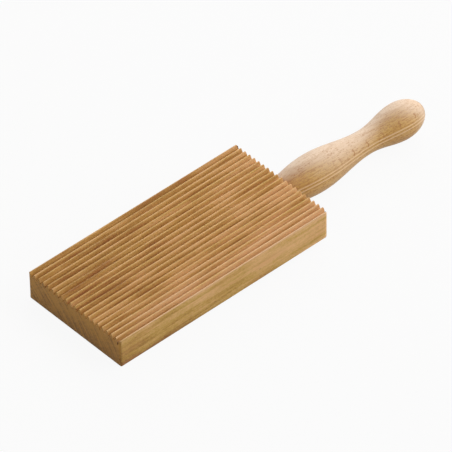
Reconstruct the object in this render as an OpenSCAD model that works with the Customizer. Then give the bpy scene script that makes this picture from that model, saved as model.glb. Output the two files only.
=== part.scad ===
// A gnocchi board: a ridged block of beech with a turned beech handle glued into its end.
// The ridges run along +X, towards the handle, and face +Z.
// The origin is the middle of the board's flat underside.

/* [Board] */
// Length of the board, along the ridges
board_l = 152; // [100:1:260]
// Width of the board, across the ridges
board_w = 75; // [45:1:140]
// Thickness of the board, to the tops of the ridges
board_t = 19; // [17:0.5:32]
// Radius worn onto the edges of the underside and of both ends
edge_r = 0.6; // [0.2:0.1:2]
// Radius of the four upright corners
corner_r = 1.2; // [0.3:0.1:4]

/* [Ridges] */
// Distance from one ridge to the next
ridge_pitch = 3.7; // [2.6:0.1:6]
// Width of the narrow flat on top of a ridge
ridge_crest = 0.6; // [0.1:0.05:0.8]
// Depth of the grooves between the ridges
groove_depth = 2.7; // [1:0.1:4]
// Width of the flat at the bottom of a groove
groove_root = 0.2; // [0.1:0.05:0.8]

/* [Handle] */
// Diameter of the shoulder that meets the board
shoulder_d = 17.4; // [16:0.1:22]
// Diameter of the swell, where the palm holds it
swell_d = 23.4; // [18:0.1:34]
// Diameter of the waist, its thinnest place
waist_d = 14.7; // [9:0.1:18]
// Diameter of the round knob at the end
knob_d = 22.2; // [16:0.1:34]
// Length from the board to the fullest place of the swell
swell_run = 23.5; // [12:0.5:50]
// Length from the swell to the waist
neck_run = 39.5; // [20:0.5:70]
// Length from the waist to the fullest place of the knob
knob_run = 26.5; // [12:0.5:50]
// Length of the rounded end, beyond the fullest place of the knob
cap_run = 17; // [8:0.5:30]
// Angle by which the handle dips below the line of the board, as its bore was drilled, in degrees
handle_dip = 1.3; // [0:0.1:2]

/* [Joint] */
// Diameter of the round tenon turned on the handle
tenon_d = 12; // [6:0.1:14.4]
// Length of the tenon inside the board
tenon_l = 25; // [12:0.5:40]
// Room for the glue all round the tenon
glue_gap = 0.1; // [0.05:0.01:0.2]
// Room for the glue beyond the tenon's end
glue_pocket = 1.5; // [0.5:0.1:4]
// Bevel that leads the tenon into its bore
tenon_bevel = 1; // [0.3:0.1:2]

/* [Hidden] */
$fn = 96;

// Grooves that fit across the width, counted from the right-hand side; what is left widens the last ridge
groove_count = floor((board_w - ridge_crest) / ridge_pitch);
wall_run = (ridge_pitch - ridge_crest - groove_root) / 2;

// The bore is centred in the solid wood under the grooves
bore_z = (board_t - groove_depth) / 2;
bore_d = tenon_d + 2 * glue_gap;
bore_l = tenon_l + glue_pocket;
drill_point_angle = 118;
drill_point_l = bore_d / 2 / tan(drill_point_angle / 2);

// Where each fullest and thinnest place lies along the handle, measured from the board
waist_at = swell_run + neck_run;
knob_at = waist_at + knob_run;
handle_l = knob_at + cap_run;

// How far the turned body starts inside the board's end before its shoulder is cut flush with it
shoulder_lead = shoulder_d / 2 * tan(handle_dip) + 0.2;
mouth_lead = bore_d / 2 * tan(handle_dip) + 0.2;
profile_step = 2;
over = 1;

// Radius at a share of the way from one radius to another, level at both ends
function ease(from_r, to_r, share) = from_r + (to_r - from_r) * (1 - cos(180 * share)) / 2;

// Radius at a share of the way, rising at once and level only at the far end
function rise(from_r, to_r, share) = from_r + (to_r - from_r) * sin(90 * share);

// Shares from just after 0 up to 1, one for each profile_step of a run
function shares(run) = let (count = ceil(run / profile_step)) [for (i = [1:count]) i / count];

// Half outline of the turned body as points of radius and distance from the board
function body_outline() = concat(
    [[0, -shoulder_lead], [shoulder_d / 2, -shoulder_lead], [shoulder_d / 2, 0]],
    [for (s = shares(swell_run)) [rise(shoulder_d / 2, swell_d / 2, s), swell_run * s]],
    [for (s = shares(neck_run)) [ease(swell_d / 2, waist_d / 2, s), swell_run + neck_run * s]],
    [for (s = shares(knob_run)) [ease(waist_d / 2, knob_d / 2, s), waist_at + knob_run * s]],
    [for (s = shares(cap_run)) [knob_d / 2 * cos(90 * s), knob_at + cap_run * sin(90 * s)]]
);

// Cross-section of the ridged block, with y across the ridges and z up
function ridged_outline() = concat(
    [[board_w / 2, board_t], [board_w / 2, 0], [-board_w / 2, 0], [-board_w / 2, board_t]],
    [for (i = [0:groove_count - 1], p = [
        [0, 0],
        [wall_run, -groove_depth],
        [wall_run + groove_root, -groove_depth],
        [2 * wall_run + groove_root, 0]
    ]) [ridge_crest - board_w / 2 + i * ridge_pitch + p[0], board_t + p[1]]]
);

module rounded_rectangle(x, y, r) {
    square([x, y - 2 * r], center = true);
    square([x - 2 * r, y], center = true);
    for (sx = [-1, 1], sy = [-1, 1])
        translate([sx * (x / 2 - r), sy * (y / 2 - r)])
            circle(r = r);
}

// Places its children on the handle's line, with their +Z along it, away from the board
module along_handle() {
    translate([board_l / 2, 0, bore_z])
        rotate([0, 90 + handle_dip, 0])
            children();
}

module ridged_length() {
    rotate([90, 0, 90])
        linear_extrude(height = board_l, center = true)
            polygon(ridged_outline());
}

// The block with its upright corners and its lower and end edges rounded
module eased_block() {
    intersection() {
        linear_extrude(height = board_t)
            rounded_rectangle(board_l, board_w, corner_r);
        translate([0, 0, board_t / 2])
            rotate([90, 0, 0])
                linear_extrude(height = board_w, center = true)
                    rounded_rectangle(board_l, board_t, edge_r);
        translate([0, 0, board_t])
            rotate([90, 0, 90])
                linear_extrude(height = board_l, center = true)
                    rounded_rectangle(board_w, 2 * board_t, edge_r);
    }
}

// The blind hole for the tenon, with the point that the drill leaves
module tenon_bore() {
    along_handle() {
        translate([0, 0, -bore_l])
            cylinder(d = bore_d, h = bore_l + mouth_lead);
        translate([0, 0, -bore_l - drill_point_l])
            cylinder(d1 = 0, d2 = bore_d, h = drill_point_l);
    }
}

module ridged_board() {
    color([0.74, 0.55, 0.34])
        difference() {
            intersection() {
                ridged_length();
                eased_block();
            }
            tenon_bore();
        }
}

// The tenon reaches a little way into the body, so the two are one piece of wood
module tenon() {
    along_handle() {
        translate([0, 0, -tenon_l])
            cylinder(d1 = tenon_d - 2 * tenon_bevel, d2 = tenon_d, h = tenon_bevel);
        translate([0, 0, tenon_bevel - tenon_l])
            cylinder(d = tenon_d, h = tenon_l - tenon_bevel + over);
    }
}

// The turned body, its shoulder cut to sit flat on the board's end all round
module turned_body() {
    difference() {
        along_handle()
            rotate_extrude()
                polygon(body_outline());
        translate([board_l / 2 - shoulder_d, -shoulder_d, bore_z - shoulder_d])
            cube([shoulder_d, 2 * shoulder_d, 2 * shoulder_d]);
    }
}

module turned_handle() {
    color([0.88, 0.75, 0.6])
        union() {
            turned_body();
            tenon();
        }
}

ridged_board();
turned_handle();
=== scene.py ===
import math

import bmesh
import bpy
from mathutils import Matrix, Vector, noise


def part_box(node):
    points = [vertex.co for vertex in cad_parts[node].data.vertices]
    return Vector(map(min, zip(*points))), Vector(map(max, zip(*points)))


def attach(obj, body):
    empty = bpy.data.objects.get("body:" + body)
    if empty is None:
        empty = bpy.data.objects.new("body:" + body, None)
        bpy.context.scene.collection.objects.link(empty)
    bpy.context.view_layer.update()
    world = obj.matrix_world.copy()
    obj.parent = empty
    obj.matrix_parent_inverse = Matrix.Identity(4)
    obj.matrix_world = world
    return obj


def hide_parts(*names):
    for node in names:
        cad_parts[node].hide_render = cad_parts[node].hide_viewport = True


bl_info = {
    "name": "Gnocchi Board",
    "version": (1, 0, 0),
    "blender": (4, 5, 0),
    "location": "View3D > Sidebar > Gnocchi Board",
    "description": "Builds a ridged beech board with a turned beech handle, and its studio",
    "category": "Add Mesh",
}

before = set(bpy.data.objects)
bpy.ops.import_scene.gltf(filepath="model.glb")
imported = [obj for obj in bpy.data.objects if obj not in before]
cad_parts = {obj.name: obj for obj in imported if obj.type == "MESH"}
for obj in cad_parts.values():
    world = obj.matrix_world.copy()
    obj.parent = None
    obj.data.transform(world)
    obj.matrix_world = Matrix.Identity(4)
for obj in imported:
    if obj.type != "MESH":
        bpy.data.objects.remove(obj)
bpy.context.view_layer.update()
BOARD_LOW, BOARD_HIGH = (Vector(corner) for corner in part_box("ridged_board"))
MM = 0.001


def from_hex(code):
    """The linear RGBA colour of an sRGB hex code."""
    shares = [int(code[i:i + 2], 16) / 255 for i in (1, 3, 5)]
    linear = [s / 12.92 if s <= 0.04045 else ((s + 0.055) / 1.055) ** 2.4 for s in shares]
    return (*linear, 1.0)


def length_property(name, description, millimetres):
    """A length, given in millimetres and kept in metres."""
    return bpy.props.FloatProperty(
        name=name,
        description=description,
        default=millimetres * MM,
        min=0.0,
        unit="LENGTH",
        precision=5,
    )


def angle_property(name, description, degrees):
    """An angle, given in degrees and kept in radians."""
    return bpy.props.FloatProperty(
        name=name,
        description=description,
        default=math.radians(degrees),
        subtype="ANGLE",
    )


def colour_property(name, description, code):
    """A colour, given as an sRGB hex code and kept linear."""
    return bpy.props.FloatVectorProperty(
        name=name,
        description=description,
        default=from_hex(code),
        subtype="COLOR",
        size=4,
        min=0.0,
        max=1.0,
    )


class BoardSettings(bpy.types.PropertyGroup):
    """Sizes of the ridged board that its box doesn't give, and its colours"""

    ridge_pitch: length_property("Ridge pitch", "Distance from one ridge to the next", 3.7)
    ridge_crest: length_property("Crest width", "Width of the flat on top of a ridge", 0.6)
    groove_depth: length_property("Groove depth", "Depth of the grooves between ridges", 2.7)
    groove_root: length_property("Root width", "Width of the flat at a groove's bottom", 0.2)
    lower_ease: length_property("Lower ease", "Radius on the edges of the underside", 0.6)
    corner_ease: length_property("Corner ease", "Radius on the upright corners", 1.2)
    worn_corner: length_property("Worn corner", "Radius on the near corner by the handle", 2.2)
    crest_ease: length_property("Crest ease", "Radius worn onto the edges of a ridge", 0.22)
    ridge_end_ease: length_property("Ridge end ease", "Radius sanded onto the ridges' ends", 0.4)
    far_edge_ease: length_property("Far edge ease", "Radius worn onto the far top edge", 0.8)
    ridge_wear: length_property("Ridge wear", "How far the crests wander and dip by wear", 0.08)
    corner_drop: length_property("Corner drop", "Wear on the near corner by the handle", 2)
    chip: length_property("Chip", "Depth of a chip in the first groove's free end", 1.4)
    bore_diameter: length_property("Bore", "Diameter of the blind hole for the tenon", 12.2)
    bore_depth: length_property("Bore depth", "Depth of that hole to its shoulder", 26.5)
    # Crest colours: wear and a painted highlight, paler and dustier towards the near side
    rubbed_lit_wood: colour_property("Rubbed wood", "Crests, rubbed dry", "#CA9C67")
    dusty_sheen_wood: colour_property("Dusty wood", "Crests at the near side, rubbed most", "#D2AA80")
    pale_wood: colour_property("Pale wood", "Early wood", "#D9AC76")
    mid_wood: colour_property("Mid wood", "Most of the wood", "#BC964B")
    warm_wood: colour_property("Warm wood", "Pinker patches along the grain", "#C08A58")
    dark_wood: colour_property("Dark wood", "Late wood and rays", "#8E5E29")
    # Grooves: gathered oil and a painted shade
    oil_and_shade_wood: colour_property("Oily wood", "Cut grooves, where the oil gathered", "#9F5F3A")
    # The chip's bottom, darkened with painted shade
    chip_shade: colour_property("Chipped wood", "The bottom of the chip", "#6B4522")
    end_wood: colour_property("End grain", "The free end, which drank the oil", "#CB9443")
    hid_end_wood: colour_property("Hidden end", "End grain round the handle", "#94704A")


class HandleSettings(bpy.types.PropertyGroup):
    """Sizes of the turned handle, measured from the board outwards, and its colours"""

    shoulder: length_property("Shoulder", "Diameter where it meets the board", 17.4)
    swell: length_property("Swell", "Diameter of the palm swell", 23.4)
    waist: length_property("Waist", "Diameter of the thinnest place", 14.7)
    knob: length_property("Knob", "Diameter of the knob at the end", 22.2)
    swell_run: length_property("Swell run", "Length from the board to the swell", 23.5)
    neck_run: length_property("Neck run", "Length from the swell to the waist", 39.5)
    knob_run: length_property("Knob run", "Length from the waist to the knob", 26.5)
    cap_run: length_property("Cap run", "Length of the rounded end", 17)
    rim_ease: length_property("Rim ease", "Radius on the shoulder's edge at the board", 0.35)
    tenon: length_property("Tenon", "Diameter of the glued tenon", 12)
    tenon_length: length_property("Tenon length", "Length of the tenon in the board", 25)
    tenon_bevel: length_property("Tenon bevel", "Bevel on the tenon's end", 1)
    dip: angle_property("Dip", "Angle by which the handle dips below the board's line", 1.3)
    pale_wood: colour_property("Pale wood", "Early wood, sanded", "#C89F60")
    mid_wood: colour_property("Mid wood", "Most of the wood", "#B78C3A")
    warm_wood: colour_property("Warm wood", "Pinker patches along the grain", "#BA8C4A")
    dark_wood: colour_property("Dark wood", "Late wood and the rays' flecks", "#9A6632")
    # A painted sheen on the slopes that face the lamps
    lit_sheen_wood: colour_property("Dry wood", "Slopes that face the tip", "#D0B599")
    line_wood: colour_property("Pale lines", "Thin lines where a year's early wood starts", "#E0BF98")
    end_wood: colour_property("End grain", "Wood cut across at the knob and tenon", "#9D784A")


class StudioSettings(bpy.types.PropertyGroup):
    """The camera, the lamps and the floor"""

    azimuth: angle_property("Azimuth", "Camera's place round the board, 0 looks along +Y", -41.784)
    elevation: angle_property("Elevation", "Camera's height over the board's plane", 42.518)
    roll: angle_property("Roll", "Camera's turn about its own line of sight", -0.853)
    aim: bpy.props.FloatVectorProperty(
        name="Aim",
        description="Point in the middle of the picture",
        default=(33.7 * MM, -0.72 * MM, 9.5 * MM),
        subtype="TRANSLATION",
    )
    distance: length_property("Distance", "From the aim to the camera", 3221.4)
    lens: bpy.props.FloatProperty(
        name="Lens",
        description="Focal length on a 36 mm wide sensor, in millimetres",
        default=468.3,
    )
    floor_white: colour_property("Floor", "Matt white floor", "#CECDCC")


def add_node(tree, kind, inputs=(), **settings):
    """Adds a node with its settings, then links or sets its inputs, by place or by name."""
    node = tree.nodes.new("ShaderNode" + kind)
    for name, value in settings.items():
        setattr(node, name, value)
    sockets = [socket for socket in node.inputs if socket.enabled]
    named = {socket.name: socket for socket in reversed(sockets)}
    pairs = inputs.items() if isinstance(inputs, dict) else enumerate(inputs)
    for key, value in pairs:
        socket = named[key] if isinstance(key, str) else sockets[key]
        if isinstance(value, bpy.types.Node):
            value = next(output for output in value.outputs if output.enabled)
        if isinstance(value, bpy.types.NodeSocket):
            tree.links.new(value, socket)
        else:
            socket.default_value = value
    return node


def blank_material(name):
    """A material without nodes, and its tree."""
    material = bpy.data.materials.new(name)
    material.use_nodes = True
    material.node_tree.nodes.clear()
    return material, material.node_tree


def beech_figure(tree, pith, ring_width, grain):
    """The figure of beech as a solid in the wood, so that every face shows its own cut of it.
    pith is the middle of the tree, far outside the piece, as (y, z) in mm. grain is the angle
    by which the fibres dip below +X. Returns a dictionary: the place in mm and the normal,
    both turned to the grain, the distance from the pith in mm, and patterns from 0 to 1."""
    figure = {}
    place = add_node(tree, "TexCoord").outputs["Object"]
    mm = add_node(tree, "VectorMath", [place, (1000, 1000, 1000)], operation="MULTIPLY")
    mm = add_node(tree, "VectorRotate", {"Vector": mm, "Angle": -grain}, rotation_type="Y_AXIS")
    figure["mm"] = mm

    # The trunk isn't straight, so its rings wander some millimetres along the tool
    slow = add_node(tree, "VectorMath", [mm, (1 / 130, 1 / 40, 1 / 40)], operation="MULTIPLY")
    wander = add_node(tree, "TexNoise", {"Vector": slow, "Scale": 1, "Detail": 1})
    centred = add_node(tree, "VectorMath", [mm, (0, *pith)], operation="SUBTRACT")
    bent = add_node(
        tree,
        "VectorMath",
        [wander.outputs["Color"], (0, 5, 5), centred],
        operation="MULTIPLY_ADD",
    )
    x, y, z = add_node(tree, "SeparateXYZ", [bent]).outputs
    across = add_node(tree, "CombineXYZ", [0, y, z])
    radius = add_node(tree, "VectorMath", [across], operation="LENGTH").outputs["Value"]
    angle = add_node(tree, "Math", [z, y], operation="ARCTAN2")
    around = add_node(tree, "Math", [angle, math.hypot(*pith)], operation="MULTIPLY")
    figure["radius"] = radius

    # Late wood darkens slowly through each year and stops in a short step
    year = add_node(tree, "Math", [radius, ring_width], operation="DIVIDE")
    season = add_node(tree, "Math", [year], operation="FRACT")
    number = add_node(tree, "Math", [year], operation="FLOOR")
    mood = add_node(tree, "TexWhiteNoise", [number], noise_dimensions="1D")
    darkening = add_node(
        tree, "MapRange", [season, 0.2, 0.86, 0, 1], interpolation_type="SMOOTHSTEP"
    )
    stop = add_node(tree, "MapRange", [season, 0.84, 1, 1, 0], interpolation_type="SMOOTHSTEP")
    late = add_node(tree, "Math", [darkening, stop], operation="MULTIPLY")
    strength = add_node(tree, "Math", [mood, 0.7, 0.3], operation="MULTIPLY_ADD")
    figure["late"] = add_node(tree, "Math", [late, strength], operation="MULTIPLY")

    # In a few of the years the first early wood stands out as a thin pale line
    first = add_node(tree, "MapRange", [season, 0, 0.6, 1, 0], interpolation_type="SMOOTHSTEP")
    open_year = add_node(tree, "MapRange", [mood, 0.8, 0.88, 0, 1])
    figure["line"] = add_node(tree, "Math", [first, open_year], operation="MULTIPLY")

    # Fibres are 0.02 mm across and pores 0.08 mm: they are drawn 0.6 and 0.7 mm across, so
    # that they show. Each row has the size in mm along and across the grain, detail, roughness
    noises = {
        "fibre": ((14, 0.6, 0.6), 3, 0.6),
        "streak": ((42, 1.8, 1.8), 2, 0.55),
        "patch": ((30, 8, 8), 2, 0.5),
        "warmth": ((24, 5, 5), 2, 0.5),
        "pores": ((1.3, 0.7, 0.7), 2, 0.7),
    }
    for name, (size, detail, roughness) in noises.items():
        shares = tuple(1 / s for s in size)
        grid = add_node(tree, "VectorMath", [mm, shares], operation="MULTIPLY")
        figure[name] = add_node(
            tree,
            "TexNoise",
            {"Vector": grid, "Scale": 1, "Detail": detail, "Roughness": roughness},
        )

    # Rays are thin plates that stand across the rings: a long face cuts them into short dark
    # flecks, 2 to 3 mm long, and an end shows them as fine lines
    plates = add_node(tree, "CombineXYZ", [x, around, radius])
    grid = add_node(tree, "VectorMath", [plates, (1 / 3.6, 1 / 1.1, 1 / 6)], operation="MULTIPLY")
    cells = add_node(tree, "TexVoronoi", {"Vector": grid, "Scale": 1})
    chance = add_node(tree, "SeparateColor", [cells.outputs["Color"]])
    near = add_node(
        tree,
        "MapRange",
        [cells.outputs["Distance"], 0.36, 0.16, 0, 1],
        interpolation_type="SMOOTHSTEP",
    )
    chosen = add_node(tree, "MapRange", [chance, 0.72, 0.95, 0, 1], interpolation_type="SMOOTHSTEP")
    figure["fleck"] = add_node(tree, "Math", [near, chosen], operation="MULTIPLY")
    grid = add_node(tree, "VectorMath", [plates, (1 / 30, 1 / 1.1, 1 / 14)], operation="MULTIPLY")
    figure["ray"] = add_node(tree, "TexNoise", {"Vector": grid, "Scale": 1, "Detail": 3})

    # An end also shows fine bands of pores that follow the rings
    grid = add_node(tree, "VectorMath", [plates, (1 / 30, 1 / 22, 1 / 1.3)], operation="MULTIPLY")
    figure["bands"] = add_node(tree, "TexNoise", {"Vector": grid, "Scale": 1, "Detail": 2})

    # Where the surface is cut across the grain it shows the end grain
    normal = add_node(tree, "TexCoord").outputs["Normal"]
    turned = add_node(
        tree, "VectorRotate", {"Vector": normal, "Angle": -grain}, rotation_type="Y_AXIS"
    )
    figure["normal"] = turned
    facing = add_node(tree, "SeparateXYZ", [turned])
    facing = add_node(tree, "Math", [facing], operation="ABSOLUTE")
    figure["cut_across"] = add_node(
        tree, "MapRange", [facing, 0.5, 0.96, 0, 1], interpolation_type="SMOOTHSTEP"
    )
    return figure


def weighted(tree, start, terms):
    """A start value plus each node's distance from one half times its weight."""
    for node, weight in terms:
        start = add_node(tree, "Math", [node, weight, start], operation="MULTIPLY_ADD")
    total = sum(weight for _, weight in terms) / 2
    return add_node(tree, "Math", [start, total], operation="SUBTRACT")


def finish_wood(material, tree, colour, figure, roughness, specular, sheen, relief):
    """Ends a wood: dull satin whose fibres break up the gloss, raised a little by sanding."""
    fibres = weighted(tree, roughness, [(figure["fibre"], 0.2)])
    height = add_node(tree, "Math", [figure["late"], 0.4, figure["fibre"]], operation="MULTIPLY_ADD")
    bump = add_node(
        tree, "Bump", {"Strength": relief, "Distance": 0.1 * MM, "Height": height}
    )
    shader = add_node(
        tree,
        "BsdfPrincipled",
        {
            "Base Color": colour,
            "Roughness": fibres,
            "IOR": 1.5,
            "Specular IOR Level": specular,
            "Sheen Weight": sheen,
            "Sheen Roughness": 0.45,
            "Normal": bump,
        },
    )
    add_node(tree, "OutputMaterial", [shader])
    return material


def oiled_grooved_beech(settings):
    """Beech, planed, grooved by a cutter and oiled: warm golden brown, darker down the grooves,
    with gathered oil and painted shade, and in the end grain, paler where the crests are rubbed
    and carry a painted highlight.
    Places on it are in mm, in the frame of the tool."""
    material, tree = blank_material("oiled_grooved_beech")
    figure = beech_figure(tree, pith=(126, -76), ring_width=3.4, grain=0.0)
    tone = weighted(
        tree,
        0.82,
        [
            (figure["late"], 0.2),
            (figure["fibre"], 0.5),
            (figure["streak"], 1.2),
            (figure["patch"], 1.2),
            (figure["pores"], 1.0),
        ],
    )
    # Darker towards the free end and the far edge, and towards the underside: painted shade
    # on the lower side
    places = add_node(tree, "SeparateXYZ", [figure["mm"]]).outputs
    for place, darkening_per_mm in zip(places, (-0.0025, 0.002, -0.02)):
        tone = add_node(tree, "Math", [place, darkening_per_mm, tone], operation="MULTIPLY_ADD")
    # A band of paler wood runs along the near side
    band = add_node(
        tree, "MapRange", [places["Y"], -34, -14, -0.16, 0.03], interpolation_type="SMOOTHSTEP"
    )
    tone = add_node(tree, "Math", [tone, band], operation="ADD")
    # Towards the free end the side is darker low down and paler high up: painted shade below
    # and painted light above
    toward_free_end = add_node(tree, "MapRange", [places["X"], -60, -16, 0.3, 0])
    low = add_node(tree, "MapRange", [places["Z"], 3, 13, 1, -0.3])
    tone = add_node(tree, "Math", [toward_free_end, low, tone], operation="MULTIPLY_ADD")
    # A patch of the ridges near the free end has kept its oil and is rubbed less
    patch_middle, patch_reach = (-60, 3.5, 19), (45, 11, 15)
    kept = add_node(tree, "VectorMath", [figure["mm"], patch_middle], operation="SUBTRACT")
    kept = add_node(tree, "VectorMath", [kept, patch_reach], operation="DIVIDE")
    kept = add_node(tree, "VectorMath", [kept], operation="LENGTH").outputs["Value"]
    kept = add_node(tree, "MapRange", [kept, 0.4, 1.3, 1, 0], interpolation_type="SMOOTHSTEP")
    tone = add_node(tree, "Math", [kept, 0.12, tone], operation="MULTIPLY_ADD")
    ramp = add_node(tree, "ValToRGB", [tone])
    stops = ramp.color_ramp.elements
    stops[0].color = settings.pale_wood
    stops[1].color = settings.dark_wood
    stops.new(0.5).color = settings.mid_wood
    warm = add_node(
        tree, "MapRange", [figure["warmth"], 0.48, 0.68, 0, 0.25], interpolation_type="SMOOTHSTEP"
    )
    long_grain = add_node(tree, "Mix", [warm, ramp, settings.warm_wood], data_type="RGBA")
    fleck = add_node(tree, "Math", [figure["fleck"], 0.35], operation="MULTIPLY")
    long_grain = add_node(
        tree, "Mix", [fleck, long_grain, settings.dark_wood], data_type="RGBA"
    )

    # The mesh says how deep in a groove each place is, past 1 in the chip, and how rubbed and
    # lit: the depth carries oil and painted shade, the rub wear and a painted highlight
    grooved = add_node(tree, "Attribute", attribute_name="groove").outputs["Fac"]
    chipped = add_node(tree, "MapRange", [grooved, 1.1, 1.6, 0, 0.9])
    grooved = add_node(tree, "MapRange", [grooved, 0, 0.3, 0, 1], interpolation_type="SMOOTHSTEP")
    # Darker down the grooves: gathered oil and painted shade
    groove_darkness = weighted(tree, 0.36, [(figure["streak"], 0.5), (figure["patch"], 0.5), (kept, 0.12)])
    oil_and_shade = add_node(tree, "Math", [grooved, groove_darkness], operation="MULTIPLY", use_clamp=True)
    long_grain = add_node(
        tree, "Mix", [oil_and_shade, long_grain, settings.oil_and_shade_wood], data_type="RGBA"
    )
    rubbed_and_lit = add_node(tree, "Attribute", attribute_name="rub_and_highlight").outputs["Fac"]
    rubbed_and_lit = add_node(tree, "MapRange", [rubbed_and_lit, 0.1, 0.95, 0, 1], clamp=False)
    uneven = weighted(
        tree, 0.4, [(figure["streak"], -2.2), (figure["patch"], -1.4), (kept, -0.24)]
    )
    rubbed_and_lit = add_node(tree, "Math", [rubbed_and_lit, uneven], operation="MULTIPLY", use_clamp=True)
    # The crests towards the near side are rubbed most and get a pale, dusty painted sheen
    near_sheen = add_node(tree, "MapRange", [places["Y"], -37, -18, 1, 0])
    crest = add_node(
        tree, "Mix", [near_sheen, settings.rubbed_lit_wood, settings.dusty_sheen_wood], data_type="RGBA"
    )

    end_tone = weighted(
        tree,
        0.44,
        [
            (figure["late"], 0.15),
            (figure["bands"], 2.4),
            (figure["ray"], 0.7),
            (figure["pores"], 1.6),
            (figure["patch"], 0.7),
        ],
    )
    end_tone = add_node(tree, "Math", [places["Z"], -0.02, end_tone], operation="MULTIPLY_ADD")
    end_tone = add_node(tree, "Math", [end_tone, 0], operation="MAXIMUM")
    # Glue and grease from the hand have darkened the end round the handle
    greasy = add_node(tree, "MapRange", [places["X"], -60, 60, 0, 1])
    end_grain = add_node(
        tree, "Mix", [greasy, settings.end_wood, settings.hid_end_wood], data_type="RGBA"
    )
    end_grain = add_node(tree, "Mix", [end_tone, end_grain, settings.dark_wood], data_type="RGBA")
    colour = add_node(
        tree, "Mix", [figure["cut_across"], long_grain, end_grain], data_type="RGBA"
    )
    colour = add_node(tree, "Mix", [rubbed_and_lit, colour, crest], data_type="RGBA")
    # The chip's bottom is painted dark: painted shade in the hollow
    colour = add_node(tree, "Mix", [chipped, colour, settings.chip_shade], data_type="RGBA")
    return finish_wood(
        material, tree, colour, figure, roughness=0.5, specular=0.2, sheen=0.0, relief=0.3
    )


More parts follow.
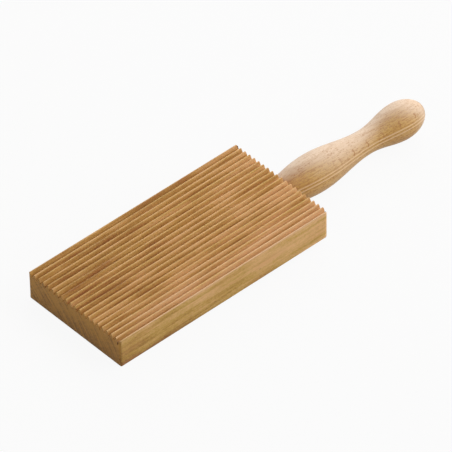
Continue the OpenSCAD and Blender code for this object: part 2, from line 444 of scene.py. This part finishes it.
def sanded_turned_beech(settings):
    """Beech, turned on a lathe and sanded bare: paler than the board, with a pinkish painted sheen
    on the slopes that face the lamps, a few pale grain lines, dark pores and the short dark flecks
    of the rays.
    Places on it are in mm, in the frame of the tool turned to the handle's line."""
    material, tree = blank_material("sanded_turned_beech")
    figure = beech_figure(tree, pith=(-143.0, -269.7), ring_width=2.0, grain=settings.dip)
    tone = weighted(
        tree,
        0.44,
        [
            (figure["late"], 0.3),
            (figure["fibre"], 0.6),
            (figure["streak"], 0.4),
            (figure["patch"], 0.4),
            (figure["pores"], 0.9),
        ],
    )
    # A little browner towards the far upper side and paler towards the near lower side
    browner = add_node(tree, "MapRange", [figure["radius"], 312, 326, -0.45, 0.4])
    tone = add_node(tree, "Math", [tone, browner], operation="ADD")
    # The two centimetres by the board are darker and warmer: painted shade from the board,
    # warmed as if by light bounced off it
    along = add_node(tree, "SeparateXYZ", [figure["mm"]])
    board_shade = add_node(tree, "MapRange", [along, 76, 94, 0.5, 0])
    tone = add_node(tree, "Math", [tone, board_shade], operation="ADD")
    ramp = add_node(tree, "ValToRGB", [tone])
    stops = ramp.color_ramp.elements
    stops[0].color = settings.pale_wood
    stops[1].color = settings.dark_wood
    stops.new(0.45).color = settings.mid_wood
    warm = add_node(
        tree, "MapRange", [figure["warmth"], 0.46, 0.68, 0, 0.6], interpolation_type="SMOOTHSTEP"
    )
    long_grain = add_node(tree, "Mix", [warm, ramp, settings.warm_wood], data_type="RGBA")
    fleck = add_node(tree, "Math", [figure["fleck"], 0.35], operation="MULTIPLY")
    long_grain = add_node(
        tree, "Mix", [fleck, long_grain, settings.dark_wood], data_type="RGBA"
    )
    # Slopes that face the tip, the far side and the top, where the lamps' light falls, are paled
    # towards a pinkish white: a painted sheen, with less of it by the board
    facing = add_node(
        tree, "VectorMath", [figure["normal"], (1.2, 0.63, 0.21)], operation="DOT_PRODUCT"
    ).outputs["Value"]
    uneven = weighted(
        tree, 0.51, [(figure["patch"], 0.4), (figure["pores"], 0.5), (board_shade, -0.4)]
    )
    lit_sheen = add_node(tree, "Math", [facing, uneven], operation="ADD")
    lit_sheen = add_node(tree, "MapRange", [lit_sheen, 0, 1, 0, 1], interpolation_type="SMOOTHSTEP")
    long_grain = add_node(tree, "Mix", [lit_sheen, long_grain, settings.lit_sheen_wood], data_type="RGBA")
    specks = weighted(tree, 0.06, [(figure["pores"], 2.8), (figure["fibre"], 2.4), (lit_sheen, -0.28)])
    specks = add_node(tree, "Math", [specks, 0], operation="MAXIMUM")
    long_grain = add_node(
        tree, "Mix", [specks, long_grain, settings.dark_wood], data_type="RGBA"
    )
    # Late wood shows on the slopes with the painted sheen too, as faint lines
    veins = add_node(tree, "Math", [figure["late"], 0.22], operation="MULTIPLY")
    long_grain = add_node(
        tree, "Mix", [veins, long_grain, settings.dark_wood], data_type="RGBA"
    )
    # The gouge tore small arcs in a row that wavers along the near upper side and in one across
    # from it, and both fade out towards the board. Each arc is the half of a ring towards the
    # tip, stretched across the grain
    pitch, half_length, half_width = 11.4, 0.8, 1.3
    across_row, ring_middle = (0, 0.593, 0.804), (0.5, 11.94, 0)
    turn = add_node(tree, "Math", [along, 1 / pitch, -0.316], operation="MULTIPLY_ADD")
    turn = add_node(tree, "Math", [turn], operation="FRACT")
    height = add_node(
        tree, "VectorMath", [figure["mm"], across_row], operation="DOT_PRODUCT"
    ).outputs["Value"]
    height = add_node(tree, "Math", [figure["patch"], 8, height], operation="MULTIPLY_ADD")
    spot = add_node(tree, "CombineXYZ", [turn, height, 0])
    spot = add_node(tree, "VectorMath", [spot, ring_middle], operation="SUBTRACT")
    spot = add_node(
        tree, "VectorMath", [spot, (pitch / half_length, 1 / half_width, 0)], operation="MULTIPLY"
    )
    spot = add_node(tree, "VectorMath", [spot], operation="LENGTH").outputs["Value"]
    torn = add_node(tree, "Math", [spot, 1, 0.5], operation="COMPARE")
    to_tip = add_node(tree, "MapRange", [turn, 0.46, 0.5, 0, 1])
    torn = add_node(tree, "Math", [torn, to_tip], operation="MULTIPLY")
    off_board = add_node(tree, "MapRange", [along, 98, 122, 0, 0.65])
    torn = add_node(tree, "Math", [torn, off_board], operation="MULTIPLY")
    long_grain = add_node(
        tree, "Mix", [torn, long_grain, settings.dark_wood], data_type="RGBA"
    )
    lines = add_node(tree, "Math", [figure["line"], 0.8], operation="MULTIPLY")
    long_grain = add_node(tree, "Mix", [lines, long_grain, settings.line_wood], data_type="RGBA")
    end_tone = weighted(tree, 0.2, [(figure["late"], 0.5), (figure["ray"], 0.5)])
    end_tone = add_node(tree, "Math", [end_tone, 0], operation="MAXIMUM")
    end_grain = add_node(
        tree, "Mix", [end_tone, settings.end_wood, settings.dark_wood], data_type="RGBA"
    )
    colour = add_node(
        tree, "Mix", [figure["cut_across"], long_grain, end_grain], data_type="RGBA"
    )
    return finish_wood(
        material, tree, colour, figure, roughness=0.55, specular=0.4, sheen=0.08, relief=0.12
    )


def white_to_the_eye(tree):
    """1 for the rays that see the backdrop as plain white, 0 for those that carry its light."""
    path = add_node(tree, "LightPath").outputs
    seen = add_node(tree, "Math", [path["Is Camera Ray"], path["Is Glossy Ray"]], operation="MAXIMUM")
    return add_node(tree, "Math", [seen, path["Is Transmission Ray"]], operation="MAXIMUM")


def matt_white_card(settings):
    """Card, matt white: the eye sees it as white as the backdrop, with the tool's soft shadow.
    The more of it is plain white, the fainter the shadow."""
    plain_white, plain_share = 0.985, 0.94
    material, tree = blank_material("matt_white_card")
    card = add_node(tree, "BsdfDiffuse", {"Color": settings.floor_white, "Roughness": 0})
    glow = add_node(tree, "Emission", {"Color": (1, 1, 1, 1), "Strength": plain_white})
    share = add_node(tree, "Math", [white_to_the_eye(tree), plain_share], operation="MULTIPLY")
    add_node(tree, "OutputMaterial", [add_node(tree, "MixShader", [share, card, glow])])
    return material


def white_room(light_level):
    """A white world: plain white where the eye sees it, and a plain grey level as light."""
    world = bpy.data.worlds.new("white_room")
    world.use_nodes = True
    tree = world.node_tree
    tree.nodes.clear()
    level = add_node(tree, "MapRange", [white_to_the_eye(tree), 0, 1, light_level, 1])
    white = add_node(tree, "Background", [(1, 1, 1, 1), level])
    add_node(tree, "OutputWorld", [white])
    return world


def link_mesh(name, mesh):
    """Makes an object of a bmesh and links it into the scene."""
    bmesh.ops.recalc_face_normals(mesh, faces=mesh.faces)
    data = bpy.data.meshes.new(name)
    mesh.to_mesh(data)
    mesh.free()
    piece = bpy.data.objects.new(name, data)
    bpy.context.scene.collection.objects.link(piece)
    return piece


def soften(mesh, sharpest):
    """Shades every face smooth, but for the edges that turn by more than sharpest degrees."""
    for face in mesh.faces:
        face.smooth = True
    for edge in mesh.edges:
        edge.smooth = edge.is_manifold and edge.calc_face_angle(0) < math.radians(sharpest)


def arc(centre, radius, start, end, steps):
    """Points of an arc in degrees, both ends included."""
    angles = [math.radians(start + (end - start) * i / steps) for i in range(steps + 1)]
    return [(centre[0] + radius * math.cos(a), centre[1] + radius * math.sin(a)) for a in angles]


def evenly(start, end, step):
    """Places between start and end, neither included, about a step apart."""
    count = max(1, round(abs(end - start) / step))
    return [start + (end - start) * i / count for i in range(1, count)]


def bridge(mesh, loops):
    """Joins each closed loop of vertices to the next with quads."""
    for this, following in zip(loops, loops[1:]):
        for i in range(len(this)):
            j = (i + 1) % len(this)
            mesh.faces.new((this[i], this[j], following[j], following[i]))


def board_outline(settings):
    """The board's cross-section, from its lower near edge up over the ridges and back, as rows
    of (y, z, ridge number or None, how deep in a groove, how rubbed and lit), and the last
    ridge's number. The last two run from 0 to 1, but the near top edge is rubbed 1.8. The depth
    gives the grooves their oil and painted shade, the rub gives wear and a painted highlight."""
    low, high = BOARD_LOW, BOARD_HIGH
    pitch, crest = settings.ridge_pitch, settings.ridge_crest
    depth, root = settings.groove_depth, settings.groove_root
    lower, far = settings.lower_ease, settings.far_edge_ease
    worn = settings.crest_ease
    top, bottom = high.z, high.z - depth
    wall = (pitch - crest - root) / 2
    slope = math.degrees(math.atan2(depth, wall))
    tangent = math.tan(math.radians(slope / 2))
    hollow = root / 2 / tangent
    count = math.floor((high.y - low.y - crest) / pitch)
    # How far apart the rows of plain faces are, and how far down the near side the rub and its
    # painted highlight reach
    step, rubbed_and_lit = 4 * MM, 0.9 * MM
    rows = [(*p, None, 0, 0) for p in arc((low.y + lower, lower), lower, 270, 180, 4)]
    rows += [(low.y, z, None, 0, 0) for z in evenly(lower, top - rubbed_and_lit, step)]
    rows.append((low.y, top - rubbed_and_lit, None, 0, 0.1))
    for ridge in range(count + 1):
        start = low.y + ridge * pitch
        # The walls are rubbed too and paled with a painted sheen: the near ridge's most, and none
        # from the eighth on
        wear_and_sheen = max(0, 1 - ridge / 7)
        if ridge == 0:
            crest_rows = arc((start + worn, top - worn), worn, 180, 90, 4)
            rows += [(*p, ridge, 0, 1.8) for p in crest_rows]
            crest_rows = []
        else:
            crest_rows = arc((start + worn * tangent, top - worn), worn, 90 + slope, 90, 3)
        if ridge == count:
            crest_rows += arc((high.y - far, top - far), far, 80, 0, 6)
            rows += [(*p, ridge, 0.4, 0) for p in crest_rows]
            continue
        end = start + crest
        crest_rows += arc((end - worn * tangent, top - worn), worn, 90, 90 - slope, 3)
        rows += [(*p, ridge, 0, 1) for p in crest_rows]
        for share in (0.2, 0.5):
            place = (end + wall * share, top - depth * share)
            rows.append((*place, ridge, share, 0.1 + 0.5 * wear_and_sheen))
        middle = (end + wall + root / 2, bottom + hollow)
        rows += [
            (*p, ridge, 1, 0.2 * wear_and_sheen) for p in arc(middle, hollow, 270 - slope, 270 + slope, 6)
        ]
        for share in (0.5, 0.2):
            place = (end + wall + root + wall * (1 - share), top - depth * share)
            rows.append((*place, ridge + 1, share, 0.1 + 0.5 * wear_and_sheen))
    rows += [(high.y, z, None, 0, 0) for z in evenly(top - far, lower, step)]
    rows += [(*p, None, 0, 0) for p in arc((high.y - lower, lower), lower, 0, -90, 4)]
    rows += [(y, 0.0, None, 0, 0) for y in evenly(high.y - lower, low.y + lower, step)]
    return rows, count


def end_radii(settings, rows):
    """The radius with which each row of the outline turns into the ends of the board."""
    radii = []
    for _, z, ridge, _, _ in rows:
        if ridge is not None:
            radii.append(settings.ridge_end_ease)
        else:
            radii.append(settings.lower_ease if z < settings.lower_ease / 2 else settings.corner_ease)
    count = len(radii)
    # Two rounds of averages let each radius run into the next
    for _ in range(2):
        radii = [(radii[i - 1] + radii[i] + radii[(i + 1) % count]) / 3 for i in range(count)]
    return radii


def build_board(settings):
    """The ridged board as one closed mesh, laid section by section along its grain."""
    rows, last = board_outline(settings)
    radii = end_radii(settings, rows)
    low, high = BOARD_LOW, BOARD_HIGH
    # How far from an edge its rounding reaches, and from an end its rub and its chip
    band, worn_end, chip_run = 3 * MM, 1.2 * MM, 2 * MM
    # How far along the board and down its side the near corner by the handle is worn
    drop_run, drop_reach = 3.5 * MM, 6 * MM
    # Lengths of the waves in which the crests wander and dip
    sway_wave, dip_wave = 21 * MM, 8 * MM
    turns = [math.radians(90 * i / 4) for i in range(5)]
    # Two sections just inside each end's rounding hold what is small there
    near_end = [settings.worn_corner + share * MM for share in (0.3, 0.8)]
    inner = near_end[-1]
    # Each section is its place, the side of its end (0 inside) and how far the end has turned
    sections = [(low.x, -1, t) for t in turns]
    sections += [(low.x + x, 0, math.pi / 2) for x in near_end]
    sections += [(x, 0, math.pi / 2) for x in evenly(low.x + inner, high.x - inner, 2 * MM)]
    sections += [(high.x - x, 0, math.pi / 2) for x in reversed(near_end)]
    sections += [(high.x, 1, t) for t in reversed(turns)]
    mesh = bmesh.new()
    rub_and_highlight = mesh.verts.layers.float.new("rub_and_highlight")
    groove = mesh.verts.layers.float.new("groove")
    loops = []
    for end, side, turn in sections:
        loop = []
        drawn_in = 1 - math.sin(turn)
        for (y, z, ridge, deep, rubbed_and_lit), radius in zip(rows, radii):
            beside = max(0, 1 - min(y - low.y, high.y - y) / band)
            corner = settings.corner_ease
            if side > 0 and y < 0:
                corner = settings.worn_corner
                radius += (corner - radius) * beside
            x = end - side * radius * (1 - math.cos(turn))
            y -= math.copysign(corner * drawn_in * beside, y)
            z += settings.lower_ease * drawn_in * max(0, 1 - z / band)
            if x > 0 and y < 0:
                by_corner = beside * max(0, 1 - (high.x - x) / drop_run) ** 2
                z -= settings.corner_drop * by_corner * max(0, 1 - (high.z - z) / drop_reach)
            if ridge is not None:
                z -= settings.ridge_end_ease * drawn_in
                # The second and third numbers only give each ridge waves of its own
                sway = noise.noise(Vector((x / sway_wave, ridge * 7.3, 0.5)))
                dip = noise.noise(Vector((x / dip_wave, ridge * 3.1, 9.5)))
                wear = settings.ridge_wear * (1 - deep) if 0 < ridge < last else 0
                y += wear * 0.8 * sway
                z -= wear * max(0, 0.3 + dip)
                # The ridges' free ends are paled: a painted highlight on their rounded edges
                at_end = 1 - max(0, (x - low.x) / worn_end - 0.4)
                rubbed_and_lit = max(rubbed_and_lit, at_end * (1 - 0.6 * deep))
                # At the handle end the ridges' tips take a groove's darkening instead of the rub:
                # painted shade
                if high.x - x < worn_end:
                    rubbed_and_lit, deep = 0, max(deep, 0.3)
                # The chip takes the first groove, and both walls of the next ridge half way up
                if (ridge == 0 and deep > 0) or (ridge == 1 and deep == 0.5):
                    chipped = max(0, 1 - (x - low.x) / chip_run)
                    z -= settings.chip * chipped
                    # Past 1, the depth marks the chip for its painted shade
                    deep += chipped
            vertex = mesh.verts.new((x, y, z))
            vertex[rub_and_highlight] = 0 if ridge == last or turn == 0 else rubbed_and_lit
            vertex[groove] = 0 if turn == 0 else deep
            loop.append(vertex)
        loops.append(loop)
    bridge(mesh, loops)
    rims = []
    for loop in (loops[0], loops[-1]):
        rims += mesh.faces.new(loop).edges
    soften(mesh, 28)
    for edge in rims:
        edge.smooth = False
    return link_mesh("ridged_beech_board", mesh)


def ease(start, end, share):
    """From start to end, level at both."""
    return start + (end - start) * (1 - math.cos(math.pi * share)) / 2


def rise(start, end, share):
    """From start to end, level only at the end."""
    return start + (end - start) * math.sin(math.pi / 2 * share)


def handle_line(groove_depth, dip):
    """Where the handle's line leaves the board, with its own +Z along it, away from the board.
    It starts in the middle of the solid wood under the grooves."""
    start = Vector((BOARD_HIGH.x, 0, (BOARD_HIGH.z - groove_depth) / 2))
    return Matrix.Translation(start) @ Matrix.Rotation(math.pi / 2 + dip, 4, "Y")


def handle_outline(settings):
    """Half outline of the turned body, as rows of (distance from the board, radius)."""
    rows = []
    at = 0.0
    for blend, start, end, run in (
        (rise, settings.shoulder, settings.swell, settings.swell_run),
        (ease, settings.swell, settings.waist, settings.neck_run),
        (ease, settings.waist, settings.knob, settings.knob_run),
    ):
        count = math.ceil(run / MM)
        rows += [(at + run * i / count, blend(start, end, i / count) / 2) for i in range(count)]
        at += run
    cap = arc((0, 0), 1, 0, 90, 26)[:-1]
    rows += [(at + settings.cap_run * s, settings.knob / 2 * c) for c, s in cap]
    return rows, at + settings.cap_run


def build_handle(settings, groove_depth):
    """The handle with its tenon as one closed mesh, turned about its own line."""
    line = handle_line(groove_depth, settings.dip)
    rows, tip = handle_outline(settings)
    around = 112
    mesh = bmesh.new()

    def ring(distance, radius, inset=None):
        """A ring of vertices, square to the line or, with an inset, that far off the board."""
        loop = []
        for i in range(around):
            angle = 2 * math.pi * i / around
            spot = line @ Vector((radius * math.cos(angle), radius * math.sin(angle), distance))
            if inset is not None:
                spot.x = BOARD_HIGH.x + inset
            loop.append(mesh.verts.new(spot))
        return loop

    end, bevel, tenon = -settings.tenon_length, settings.tenon_bevel, settings.tenon / 2
    seat, rim = settings.shoulder / 2, settings.rim_ease
    loops = [ring(end, tenon - bevel), ring(end + bevel, tenon)]
    loops += [ring(d, tenon) for d in evenly(end + bevel, 0, 3 * MM)]
    loops += [ring(0, tenon, 0), ring(0, (tenon + seat) / 2, 0)]
    loops += [ring(0, seat + y, rim + x) for y, x in arc((-rim, 0), rim, -90, 0, 3)]
    loops += [ring(distance, radius) for distance, radius in rows if distance > 2 * rim]
    bridge(mesh, loops)
    for loop, distance in ((loops[0], end), (loops[-1], tip)):
        pole = mesh.verts.new(line @ Vector((0, 0, distance)))
        for i in range(around):
            mesh.faces.new((loop[i - 1], loop[i], pole))
    soften(mesh, 35)
    return link_mesh("turned_beech_handle", mesh)


def drill_shape(settings, dip):
    """The drill as a closed mesh: the blind hole with its pointed end, from past the board."""
    line = handle_line(settings.groove_depth, dip)
    radius, point_angle, around = settings.bore_diameter / 2, 118, 64
    point = radius / math.tan(math.radians(point_angle / 2))
    mesh = bmesh.new()
    loops = []
    for distance in (MM, -settings.bore_depth):
        circle = [2 * math.pi * i / around for i in range(around)]
        spots = [(radius * math.cos(a), radius * math.sin(a), distance) for a in circle]
        loops.append([mesh.verts.new(line @ Vector(spot)) for spot in spots])
    bridge(mesh, loops)
    mesh.faces.new(loops[0])
    tip = mesh.verts.new(line @ Vector((0, 0, -settings.bore_depth - point)))
    for i in range(around):
        mesh.faces.new((loops[1][i - 1], loops[1][i], tip))
    return link_mesh("drill", mesh)


def cut_away(piece, tool):
    """Cuts the tool's shape out of the piece for good, and removes the tool."""
    cut = piece.modifiers.new("cut", "BOOLEAN")
    cut.solver = "EXACT"
    cut.object = tool
    bpy.context.view_layer.update()
    graph = bpy.context.evaluated_depsgraph_get()
    data = bpy.data.meshes.new_from_object(piece.evaluated_get(graph))
    piece.modifiers.remove(cut)
    piece.data = data
    bpy.data.objects.remove(tool)


class GNOCCHI_OT_board(bpy.types.Operator):
    """Build the ridged beech board"""

    bl_idname = "gnocchi.board"
    bl_label = "Ridged Board"

    def execute(self, context):
        settings = context.scene.gnocchi_board
        piece = build_board(settings)
        cut_away(piece, drill_shape(settings, context.scene.gnocchi_handle.dip))
        piece.data.materials.append(oiled_grooved_beech(settings))
        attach(piece, "root")
        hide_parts("ridged_board")
        return {"FINISHED"}


class GNOCCHI_OT_handle(bpy.types.Operator):
    """Build the turned beech handle with its tenon"""

    bl_idname = "gnocchi.handle"
    bl_label = "Turned Handle"

    def execute(self, context):
        settings = context.scene.gnocchi_handle
        piece = build_handle(settings, context.scene.gnocchi_board.groove_depth)
        piece.data.materials.append(sanded_turned_beech(settings))
        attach(piece, "root")
        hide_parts("turned_handle")
        return {"FINISHED"}


def towards(azimuth, elevation):
    """The direction to a place round the tool: azimuth 0 is at its near side, -Y."""
    flat = math.cos(elevation)
    return Vector((math.sin(azimuth) * flat, -math.cos(azimuth) * flat, math.sin(elevation)))


def add_softbox(name, azimuth, elevation, distance, size, watts):
    """A square lamp, turned to the tool: its place in degrees, its distance and size in m."""
    light = bpy.data.lights.new(name, "AREA")
    light.size = size
    light.energy = watts
    lamp = bpy.data.objects.new(name, light)
    back = towards(math.radians(azimuth), math.radians(elevation))
    lamp.location = back * distance
    lamp.rotation_euler = back.to_track_quat("Z", "Y").to_euler()
    bpy.context.scene.collection.objects.link(lamp)


def add_camera(settings):
    """The camera at the photographed angle, with a long lens."""
    back = towards(settings.azimuth, settings.elevation)
    data = bpy.data.cameras.new("camera")
    data.sensor_width = 36
    data.lens = settings.lens
    camera = bpy.data.objects.new("camera", data)
    place = Matrix.Translation(Vector(settings.aim) + back * settings.distance)
    turn = back.to_track_quat("Z", "Y").to_matrix().to_4x4()
    camera.matrix_world = place @ turn @ Matrix.Rotation(settings.roll, 4, "Z")
    bpy.context.scene.collection.objects.link(camera)
    bpy.context.scene.camera = camera


def add_floor(settings):
    """The floor where the tool really rests: on the board's free lower edge and the handle's
    swell, so it falls a little towards the handle."""
    handle = bpy.data.objects["turned_beech_handle"].data
    slope = min(v.co.z / (v.co.x - BOARD_LOW.x) for v in handle.vertices)
    half = 6.0
    mesh = bmesh.new()
    corners = [(-half, -half), (half, -half), (half, half), (-half, half)]
    mesh.faces.new([mesh.verts.new((x, y, slope * (x - BOARD_LOW.x))) for x, y in corners])
    floor = link_mesh("floor", mesh)
    floor.data.materials.append(matt_white_card(settings))


class GNOCCHI_OT_studio(bpy.types.Operator):
    """Add the white floor, the soft lamps and the camera"""

    bl_idname = "gnocchi.studio"
    bl_label = "Studio"

    def execute(self, context):
        settings = context.scene.gnocchi_studio
        add_floor(settings)
        add_softbox("front_softbox", azimuth=48, elevation=36, distance=2.0, size=1.7, watts=32)
        add_softbox("side_softbox", azimuth=108, elevation=40, distance=2.0, size=1.7, watts=19.5)
        add_softbox("back_softbox", azimuth=148, elevation=20, distance=2.0, size=1.5, watts=20)
        context.scene.world = white_room(light_level=0.26)
        add_camera(settings)
        context.scene.view_settings.view_transform = "Standard"
        return {"FINISHED"}


class GNOCCHI_PT_panel(bpy.types.Panel):
    """Lists the pieces of the tool and its studio, with their sizes and colours"""

    bl_label = "Gnocchi Board"
    bl_space_type = "VIEW_3D"
    bl_region_type = "UI"
    bl_category = "Gnocchi Board"

    def draw(self, context):
        scene = context.scene
        for operator, settings in (
            (GNOCCHI_OT_board, scene.gnocchi_board),
            (GNOCCHI_OT_handle, scene.gnocchi_handle),
            (GNOCCHI_OT_studio, scene.gnocchi_studio),
        ):
            box = self.layout.box()
            box.operator(operator.bl_idname)
            for name in settings.__annotations__:
                box.prop(settings, name)


CLASSES = (
    BoardSettings,
    HandleSettings,
    StudioSettings,
    GNOCCHI_OT_board,
    GNOCCHI_OT_handle,
    GNOCCHI_OT_studio,
    GNOCCHI_PT_panel,
)


def register():
    for cls in CLASSES:
        bpy.utils.register_class(cls)
    bpy.types.Scene.gnocchi_board = bpy.props.PointerProperty(type=BoardSettings)
    bpy.types.Scene.gnocchi_handle = bpy.props.PointerProperty(type=HandleSettings)
    bpy.types.Scene.gnocchi_studio = bpy.props.PointerProperty(type=StudioSettings)


def unregister():
    del bpy.types.Scene.gnocchi_board
    del bpy.types.Scene.gnocchi_handle
    del bpy.types.Scene.gnocchi_studio
    for cls in reversed(CLASSES):
        bpy.utils.unregister_class(cls)


def main():
    register()
    bpy.ops.gnocchi.board()
    bpy.ops.gnocchi.handle()
    bpy.ops.gnocchi.studio()


if __name__ == "__main__":
    main()
